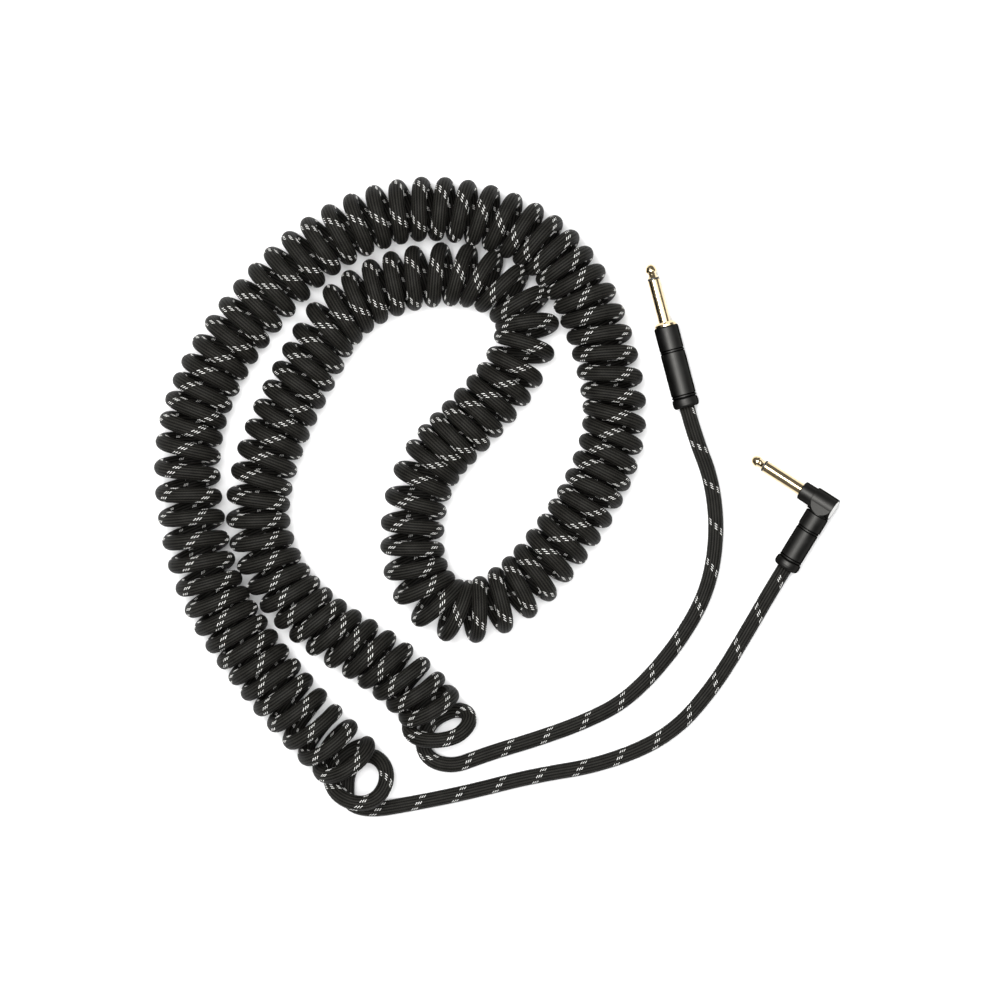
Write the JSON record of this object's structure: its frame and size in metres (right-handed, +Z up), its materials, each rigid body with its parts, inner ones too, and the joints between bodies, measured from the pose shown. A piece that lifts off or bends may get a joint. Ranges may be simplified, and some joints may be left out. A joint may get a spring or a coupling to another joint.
{
  "type": "instrument cable",
  "caption": "Coiled instrument cable in a black tweed jacket with a white tracer, with a straight and a right-angle gold and black jack plug.",
  "frame": {"origin": "on the table, under the middle of the box round the two plugs", "axes": "+Z up from the table; +Y along the longer side of the box round the two plugs, from the angle plug to the straight plug; +X away from the coil"},
  "size_m": [0.3561, 0.3297, 0.0328],
  "materials": {
    "gold_plate": "polished",
    "polished_cap": "polished",
    "black_metal": "satin",
    "black_insulator": "satin",
    "liner_card": "matte",
    "plain_brass": "satin",
    "copper": "satin",
    "core_plastic": "satin",
    "solder": "satin",
    "woven_jacket": "woven",
    "wound_turns": "woven"
  },
  "bodies": {
    "root": {"angle_bushing": "plain_brass", "angle_collar": "black_metal", "angle_core_insulation": "core_plastic", "angle_core_wire": "copper", "angle_end_cap": "polished_cap", "angle_ground_tang": "plain_brass", "angle_head": "black_metal", "angle_jacket_end": "woven_jacket", "angle_rear_insulator": "black_insulator", "angle_shield_tail": "copper", "angle_sleeve": "gold_plate", "angle_solder": "solder", "angle_tail": "woven_jacket", "angle_tip": "gold_plate", "angle_tip_insulator": "black_insulator", "angle_tip_lug": "plain_brass", "coil": "wound_turns", "straight_bushing": "gold_plate", "straight_collar": "black_metal", "straight_core_insulation": "core_plastic", "straight_core_wire": "copper", "straight_ground_tang": "plain_brass", "straight_jacket_end": "woven_jacket", "straight_rear_insulator": "black_insulator", "straight_shield_tail": "copper", "straight_sleeve": "gold_plate", "straight_solder": "solder", "straight_tail": "woven_jacket", "straight_tip": "gold_plate", "straight_tip_insulator": "black_insulator", "straight_tip_lug": "plain_brass"},
    "straight_liner": {"straight_liner": "liner_card"},
    "straight_barrel": {"straight_barrel": "black_metal", "straight_end_bead": "black_metal"},
    "angle_liner": {"angle_liner": "liner_card"},
    "angle_barrel": {"angle_barrel": "black_metal", "angle_end_bead": "black_metal"}
  },
  "joints": [
    {"name": "straight_barrel_draw", "type": "slide", "parent": "root", "child": "straight_liner", "axis": [0.2538, -0.9673, 0], "range_m": [0, 0.0061]},
    {"name": "straight_barrel_turn", "type": "hinge", "parent": "straight_liner", "child": "straight_barrel", "pos_m": [-0.03375, 0.02418, 0.0069], "axis": [0.2538, -0.9673, 0], "range_deg": [0, 2160]},
    {"name": "angle_barrel_draw", "type": "slide", "parent": "root", "child": "angle_liner", "axis": [-0.5107, -0.8461, -0.153], "range_m": [0, 0.0051]},
    {"name": "angle_barrel_turn", "type": "hinge", "parent": "angle_liner", "child": "angle_barrel", "pos_m": [0.02943, -0.06565, 0.00907], "axis": [-0.5107, -0.8461, -0.153], "range_deg": [0, 1800]}
  ],
  "couplings": [
    {"joint": "straight_barrel_draw", "follows": "straight_barrel_turn", "m_per_rad": 0.00015915},
    {"joint": "angle_barrel_draw", "follows": "angle_barrel_turn", "m_per_rad": 0.00015915}
  ]
}
